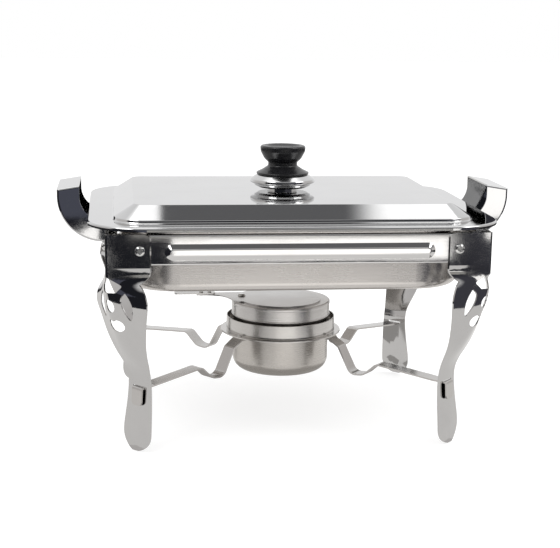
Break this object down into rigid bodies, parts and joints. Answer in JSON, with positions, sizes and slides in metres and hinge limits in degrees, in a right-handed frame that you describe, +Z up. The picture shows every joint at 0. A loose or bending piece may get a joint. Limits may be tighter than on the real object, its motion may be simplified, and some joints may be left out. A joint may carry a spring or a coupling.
{
  "type": "chafing dish food warmer",
  "caption": "Rectangular metal buffet food warmer with a lift-off lid and knob, nested food and water pans, folded sheet legs, side grips and a burner slung beneath.",
  "frame": {"origin": "on the table under the centre of the dish, midway between the four feet", "axes": "+X along the long side from the left grip to the right grip, +Y to the back, +Z up"},
  "size_m": [0.4192, 0.2974, 0.2573],
  "materials": {
    "apron_steel": "polished stainless sheet with a fine long grain",
    "leg_steel": "mirror polished stainless sheet",
    "screw_steel": "bright plated",
    "nut_steel": "zinc plated, slightly dull",
    "handle_steel": "mirror polished stainless sheet",
    "water_pan_steel": "satin drawn stainless",
    "food_pan_steel": "satin drawn stainless",
    "lid_steel": "mirror polished stainless",
    "saucer_steel": "bright plated",
    "knob_plastic": "glossy black",
    "arm_steel": "bright rolled strip",
    "ring_steel": "turned, fine circular grain",
    "can_steel": "drawn, circular brushing",
    "cover_steel": "turned, fine circular grain",
    "damper_steel": "satin sheet"
  },
  "bodies": {
    "stand": {"front_panel": "apron_steel", "back_panel": "apron_steel", "left_end_panel": "apron_steel", "right_end_panel": "apron_steel", "leg_front_left": "leg_steel", "leg_front_right": "leg_steel", "leg_back_left": "leg_steel", "leg_back_right": "leg_steel", "leg_screws": "screw_steel", "leg_nuts": "nut_steel", "handle_left": "handle_steel", "handle_right": "handle_steel", "handle_rivets": "screw_steel", "arm_front_left": "arm_steel", "arm_front_right": "arm_steel", "arm_back_left": "arm_steel", "arm_back_right": "arm_steel", "burner_ring": "ring_steel", "ring_rivets": "screw_steel"},
    "water_pan": {"water_pan": "water_pan_steel"},
    "food_pan": {"food_pan": "food_pan_steel"},
    "lid": {"lid_shell": "lid_steel", "knob_saucer": "saucer_steel", "lid_knob": "knob_plastic", "knob_washer": "nut_steel", "knob_screw": "nut_steel"},
    "fuel_can": {"fuel_can": "can_steel"},
    "burner_cover": {"burner_cover": "cover_steel", "damper_pin": "screw_steel"},
    "damper": {"damper_plate": "damper_steel", "damper_lever": "damper_steel", "lever_rivets": "screw_steel"}
  },
  "joints": [
    {"name": "water_pan_lift", "type": "slide", "parent": "stand", "child": "water_pan", "axis": [0, 0, 1], "range_m": [0, 0.12]},
    {"name": "food_pan_lift", "type": "slide", "parent": "water_pan", "child": "food_pan", "axis": [0, 0, 1], "range_m": [0, 0.08]},
    {"name": "lid_lift", "type": "slide", "parent": "food_pan", "child": "lid", "axis": [0, 0, 1], "range_m": [0, 0.12]},
    {"name": "fuel_can_lift", "type": "slide", "parent": "stand", "child": "fuel_can", "axis": [0, 0, 1], "range_m": [0, 0.0135]},
    {"name": "burner_cover_lift", "type": "slide", "parent": "fuel_can", "child": "burner_cover", "axis": [0, 0, 1], "range_m": [0, 0.0145]},
    {"name": "damper_swing", "type": "hinge", "parent": "burner_cover", "child": "damper", "pos_m": [-0.037, 0.009, 0.1102], "axis": [0, 0, 1], "range_deg": [0, 75]}
  ]
}
